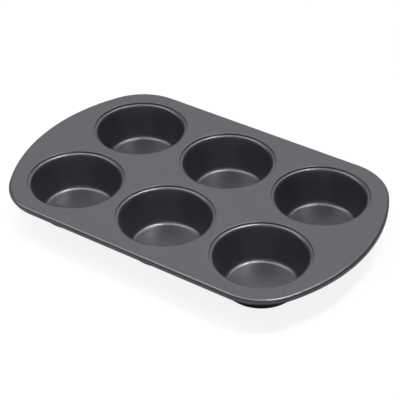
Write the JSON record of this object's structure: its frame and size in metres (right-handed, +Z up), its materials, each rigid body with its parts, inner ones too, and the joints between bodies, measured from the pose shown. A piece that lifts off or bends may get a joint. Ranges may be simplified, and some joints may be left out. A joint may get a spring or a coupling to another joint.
{
  "type": "muffin pan",
  "caption": "Shallow coated-steel baking pan: tapered round cups hang in a flat deck with straight sides, wide curved handle ends and a rolled, wire-stiffened rim.",
  "frame": {"origin": "middle of the footprint, on the plane that the undersides of the cups stand on", "axes": "+X along the length towards the right handle end, +Y across the width towards the back row of cups, +Z up"},
  "size_m": [0.2856, 0.1812, 0.0285],
  "materials": {
    "coated_deck": "satin dark grey non-stick coating",
    "coated_cup": "satin dark grey non-stick coating",
    "steel_wire": "plain drawn steel wire"
  },
  "bodies": {
    "root": {"deck": "coated_deck", "rim_wire": "steel_wire", "cup_front_left": "coated_cup", "cup_front_middle": "coated_cup", "cup_front_right": "coated_cup", "cup_back_left": "coated_cup", "cup_back_middle": "coated_cup", "cup_back_right": "coated_cup"}
  },
  "joints": []
}
